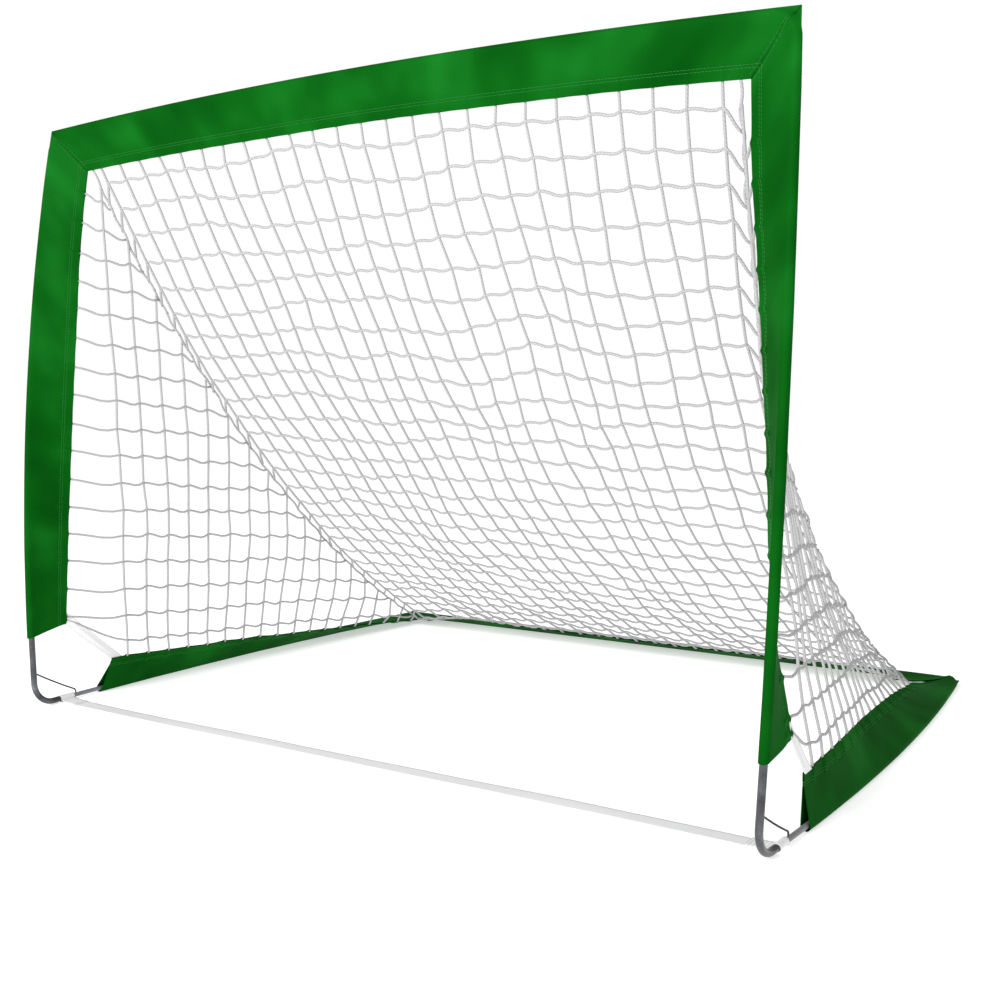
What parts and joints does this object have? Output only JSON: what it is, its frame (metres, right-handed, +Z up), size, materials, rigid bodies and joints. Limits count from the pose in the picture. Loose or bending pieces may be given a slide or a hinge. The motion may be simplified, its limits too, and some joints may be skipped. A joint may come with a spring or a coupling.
{
  "type": "pop up goal",
  "caption": "Pop-up lawn goal: leaning sleeved hoop on a ground frame, sloping net back and net sides, bent tube feet, webbing across the goal line.",
  "frame": {"origin": "centre of the goal's outline on the ground", "axes": "+X to the right as the shooter sees the goal, +Y towards the back of the goal, +Z up"},
  "size_m": [1.2531, 1.0225, 0.9338],
  "materials": {
    "green_cloth": "plain-weave coated polyester",
    "net_twine": "knotless white polyester twine",
    "webbing": "flat white polypropylene webbing",
    "tube_steel": "black-plated steel tube, satin",
    "fibreglass": "pultruded rod",
    "elastic_cord": "braided cover"
  },
  "bodies": {
    "base": {"left_rear_rod": "fibreglass", "rear_ferrule": "tube_steel", "right_rear_rod": "fibreglass", "rear_sleeve": "green_cloth", "back_net": "net_twine", "ground_strap": "webbing", "ground_cord": "elastic_cord", "left_front_ground_rod": "fibreglass", "left_ground_ferrule": "tube_steel", "left_rear_ground_rod": "fibreglass", "left_rear_elbow": "tube_steel", "left_ground_sleeve": "green_cloth", "left_side_net": "net_twine", "left_corner_band": "webbing", "left_elbow_cord": "elastic_cord", "right_front_ground_rod": "fibreglass", "right_ground_ferrule": "tube_steel", "right_rear_ground_rod": "fibreglass", "right_rear_elbow": "tube_steel", "right_ground_sleeve": "green_cloth", "right_side_net": "net_twine", "right_corner_band": "webbing", "right_elbow_cord": "elastic_cord"},
    "front_hoop": {"left_crossbar_rod": "fibreglass", "crossbar_ferrule": "tube_steel", "right_crossbar_rod": "fibreglass", "crossbar_sleeve": "green_cloth", "hoop_cord": "elastic_cord", "left_front_elbow": "tube_steel", "left_lower_upright_rod": "fibreglass", "left_upright_ferrule": "tube_steel", "left_upper_upright_rod": "fibreglass", "left_top_elbow": "tube_steel", "left_upright_sleeve": "green_cloth", "right_front_elbow": "tube_steel", "right_lower_upright_rod": "fibreglass", "right_upright_ferrule": "tube_steel", "right_upper_upright_rod": "fibreglass", "right_top_elbow": "tube_steel", "right_upright_sleeve": "green_cloth"}
  },
  "joints": [
    {"name": "front_fold", "type": "hinge", "parent": "base", "child": "front_hoop", "pos_m": [0, -0.457, 0.01095], "axis": [-1, 0, 0], "range_deg": [0, 60], "deforming": ["back_net", "left_side_net", "right_side_net", "left_corner_band", "right_corner_band", "left_elbow_cord", "right_elbow_cord"]}
  ]
}
